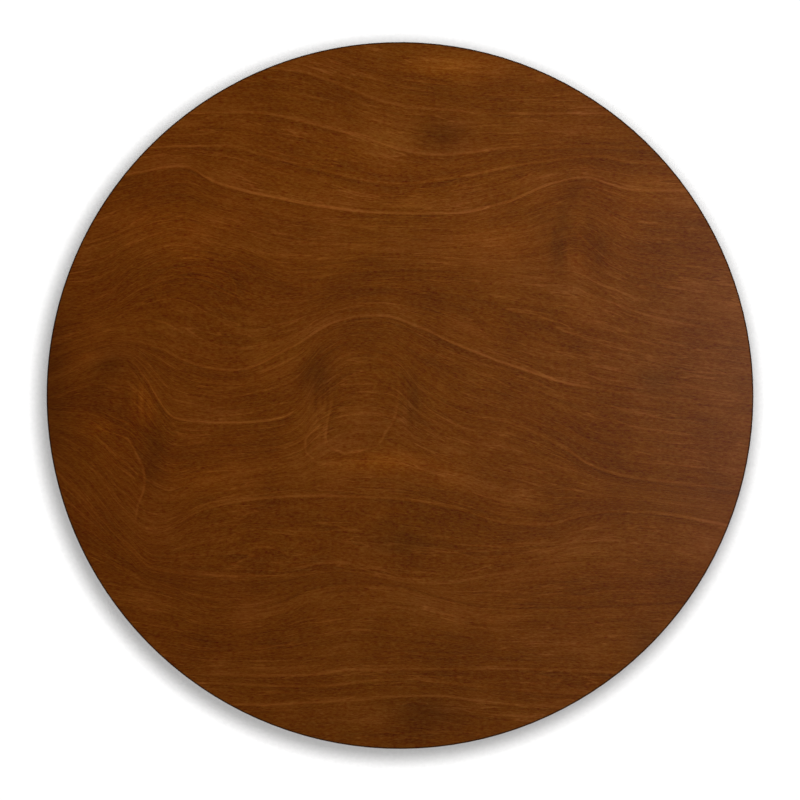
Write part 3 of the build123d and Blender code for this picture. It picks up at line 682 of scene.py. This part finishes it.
def japanned_material():
    """Black baked enamel with a faint orange peel, chipped to bare steel along its edges."""
    made, sheet = material("japanned_steel")
    place = sheet.place()
    peel = sheet.noise(place, 420.0)
    chips = sheet.noise(place, 210.0, 4.0, 0.7)
    bare = sheet.ramp(sheet.edges(0.0008) * sheet.ramp(chips, 0.45, 0.6), 0.3, 0.6)
    colour = sheet.blend(bare, (0.010, 0.0095, 0.009), (0.23, 0.21, 0.19))
    dust = sheet.ramp(sheet.noise(place, 30.0, 3.0), 0.45, 0.75, 0.0, 0.10)
    colour = sheet.blend(dust, colour, (0.10, 0.09, 0.075))
    roughness = sheet.ramp(chips, 0.3, 0.7, 0.28, 0.40)
    sheet.surface(colour, roughness, sheet.bump(peel, 0.15, 0.0003), IOR=1.5)
    return made


def nylon_material():
    """Moulded brown nylon, scuffed paler where it rubs."""
    made, sheet = material("brown_nylon")
    place = sheet.place()
    x, y, z = sheet.parts(place)
    scuffs = sheet.noise(sheet.point(x, y, z * 6.0), 260.0, 4.0, 0.7)
    mottle = sheet.noise(place, 90.0)
    rubbed = sheet.ramp(scuffs, 0.52, 0.68, 0.0, 0.6)
    colour = sheet.blend(mottle, (0.030, 0.017, 0.010), (0.052, 0.031, 0.019))
    colour = sheet.blend(rubbed, colour, (0.12, 0.085, 0.06))
    roughness = sheet.ramp(scuffs, 0.3, 0.7, 0.42, 0.62)
    sheet.surface(colour, roughness, sheet.bump(scuffs, 0.2, 0.0002), IOR=1.53)
    return made


# ---- The catch's coil ----
def coil_line(low, high):
    """Points along the coil. Its first and last turns are closed, and the others are evenly open."""
    radius = (high.x - low.x - SPRING_WIRE) / 2
    middle = (low + high) / 2
    start = low.y + SPRING_WIRE / 2
    pitch = (high.y - low.y - SPRING_WIRE * 3) / (SPRING_TURNS - 2)
    for step in range(SPRING_TURNS * SPRING_STEPS + 1):
        turn = step / SPRING_STEPS
        closed = min(turn, 1) + max(turn - (SPRING_TURNS - 1), 0)
        y = start + closed * SPRING_WIRE + (turn - closed) * pitch
        yield middle.x + radius * cos(turn * tau), y, middle.z + radius * sin(turn * tau)


def catch_coil(made):
    """A coil between the bolt and the case, carried by the body that the bolt slides in."""
    low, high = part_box("catch_spring")
    points = list(coil_line(low, high))
    wire = bpy.data.curves.new("coil_wire", "CURVE")
    wire.dimensions = "3D"
    wire.bevel_depth = SPRING_WIRE / 2
    wire.bevel_resolution = 3
    wire.use_fill_caps = True
    line = wire.splines.new("POLY")
    line.points.add(len(points) - 1)
    for point, place in zip(line.points, points):
        point.co = (*place, 1.0)
    swept = bpy.data.objects.new("coil_wire", wire)
    piece = bpy.data.objects.new("catch_coil", bpy.data.meshes.new_from_object(swept))
    bpy.data.objects.remove(swept)
    piece.data.shade_smooth()
    piece.data.materials.clear()
    piece.data.materials.append(made)
    bpy.context.collection.objects.link(piece)
    slide = next(joint for joint in frame["joints"] if joint["name"] == "catch_slide")
    keep = 1 - slide["range_m"][1] / (high.y - low.y)  # its share of its length when the bolt is drawn back
    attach(piece, slide["parent"])
    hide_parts("catch_spring")
    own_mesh(piece)


# ---- Studio ----
def floor():
    """A pale diffuse floor that glows far out, and that is clear from below."""
    bpy.ops.mesh.primitive_plane_add(size=FLOOR_SIZE, location=(0, 0, -FLOOR_DROP))
    piece = bpy.context.object
    piece.name = "studio_floor"
    made, sheet = material("pale_floor")
    place = sheet.place()
    speckle = sheet.noise(place, 220.0)
    white = sheet.colours(speckle, ((0.3, (0.86, 0.86, 0.86)), (0.7, (0.90, 0.90, 0.90))))
    diffuse = sheet.add("BsdfDiffuse", {"Color": white, "Roughness": 0.5})
    x, y, _ = sheet.parts(place)
    reach = sheet.math("SQRT", x * x + y * y)
    glow = sheet.ramp(reach, COVE_START, COVE_END, 0.0, COVE_GLOW, smooth=True)
    lit = sheet.add("AddShader", {0: diffuse, 1: sheet.add("Emission", {"Strength": glow})})
    clear = sheet.add("BsdfTransparent")
    below = sheet.add("NewGeometry", output="Backfacing")
    seen = sheet.add("MixShader", {0: below, 1: lit, 2: clear})
    sheet.add("OutputMaterial", {"Surface": seen})
    piece.data.materials.append(made)


def area_light(name, place, aim, size, power, shape="RECTANGLE"):
    light = bpy.data.lights.new(name, "AREA")
    light.shape = shape
    light.size, light.size_y = size
    light.energy = power
    lamp = bpy.data.objects.new(name, light)
    lamp.location = place
    lamp.rotation_euler = (Vector(place) - Vector(aim)).to_track_quat("Z", "Y").to_euler()
    bpy.context.collection.objects.link(lamp)
    return lamp


def lights():
    """The key is polarised, so that it leaves no glare. The card shows only as a sheen on the lacquer."""
    height = TOP_Z + CAMERA_HEIGHT - KEY_DROP
    key = area_light("key", (*KEY_PLACE, height), (*KEY_PLACE, 0), (KEY_SIZE, KEY_SIZE), KEY_POWER, "DISK")
    key.visible_glossy = False
    card = area_light("card", CARD_PLACE, (0, 0, TOP_Z), CARD_SIZE, CARD_POWER)
    card.visible_diffuse = False


def world():
    """An even fill, plain white to the camera. In reflections it is light near the horizon, dark overhead."""
    sky = bpy.data.worlds.new("studio")
    bpy.context.scene.world = sky
    sky.use_nodes = True
    sky.cycles.sampling_method = "NONE"
    sheet = Sheet(sky.node_tree)
    _, _, up = sheet.parts(sheet.add("TexCoord", output="Generated"))
    mirrored = sheet.ramp(up, 0.0, GLOSS_END, HORIZON_GLOSS, 0.0, smooth=True)
    is_glossy = sheet.add("LightPath", output="Is Glossy Ray")
    is_camera = sheet.add("LightPath", output="Is Camera Ray")
    strength = (mirrored - FILL) * is_glossy + FILL
    strength = (1.0 - strength) * is_camera + strength
    glow = sheet.add("Background", {"Color": (1.0, 1.0, 1.0, 1.0), "Strength": strength})
    sheet.add("OutputWorld", {"Surface": glow})


def camera():
    """Straight down, a little in front of the top's centre, as the photograph's centre is."""
    data = bpy.data.cameras.new("camera")
    data.lens, data.sensor_width = LENS, SENSOR
    eye = bpy.data.objects.new("camera", data)
    raise_by = TOP_RAISE * TOP_RADIUS / TOP_SHARE
    eye.location = (0, -raise_by, TOP_Z + CAMERA_HEIGHT)
    bpy.context.collection.objects.link(eye)
    bpy.context.scene.camera = eye


def dress(names, made):
    """Gives CAD pieces a material."""
    for name in names:
        slots = nodes[name].data.materials
        slots.clear()
        slots.append(made)


def dress_legs():
    """Each leg is sawn from its own plank, with the grain along the leg's slope."""
    for name, angle in (("leg_front", -90), ("leg_back_right", 30), ("leg_back_left", 150)):
        outward = Vector((cos(radians(angle)), sin(radians(angle)), 0))
        sideways = Vector((-sin(radians(angle)), cos(radians(angle)), 0))
        slope = outward - Vector((0, 0, LEG_FALL))
        dress([name], stained_wood(name + "_birch", slope, sideways, tone=1.6, pith=0.05, wear=0.6))


def dress_wood():
    dress(["face_veneer"], face_veneer_material())
    dress(["edge_lipping"], lipping_material())
    dress(["back_veneer"], under_veneer_material())
    dress(["top_core"], core_board_material())
    batten = stained_wood("batten_birch", (0, 1, 0), (0, 0, 1), tone=1.4, wear=0.4)
    dress(["batten_left", "batten_right"], batten)
    dress(["tilt_block"], stained_wood("block_birch", (1, 0, 0), (0, 1, 0), tone=1.4, wear=0.5))
    dress(["pillar"], stained_wood("pillar_birch", (0, 0, 1), (1, 0, 0), tone=1.6, pith=0.02, wear=0.35))
    dress(["tenon_wedge"], stained_wood("wedge_walnut", (0, 0, 1), (0, 1, 0), tone=0.7))
    dress_legs()


def dress_metal():
    brass = metal("aged_brass", (0.56, 0.36, 0.13), (0.19, 0.10, 0.035), 0.5)
    dress(["pivot_bush_left", "pivot_bush_right", "pivot_insert_left", "pivot_insert_right"], brass)
    dress(["catch_screws", "catch_knob", "catch_bolt", "strike_screws"], brass)
    rolled = metal("rolled_brass", (0.54, 0.355, 0.14), (0.22, 0.12, 0.045), 0.45, brushed=(1, 0.06, 1))
    dress(["catch_case", "catch_back_plate", "strike_plate"], rolled)
    screw_steel = metal("screw_steel", (0.38, 0.36, 0.33), (0.12, 0.10, 0.085), 0.55)
    dress(["batten_screws_left", "batten_screws_right", "spider_screws", "glide_nails"], screw_steel)
    spring_steel = metal("spring_steel", (0.50, 0.49, 0.47), (0.16, 0.14, 0.12), 0.25)
    dress(["catch_spring"], spring_steel)
    catch_coil(spring_steel)
    turned = metal("turned_steel", (0.36, 0.34, 0.31), (0.13, 0.11, 0.09), 0.4, brushed=(3, 0.3, 0.3))
    dress(["pivot_bolt_left", "pivot_bolt_right"], turned)
    dress(["spider_plate"], japanned_material())


def dress_nylon():
    nylon = nylon_material()
    dress(["pivot_washer_left", "pivot_washer_right"], nylon)
    dress(["glide_front", "glide_back_left", "glide_back_right"], nylon)


dress_wood()
dress_metal()
dress_nylon()
floor()
lights()
world()
camera()
bpy.context.scene.view_settings.view_transform = "Standard"
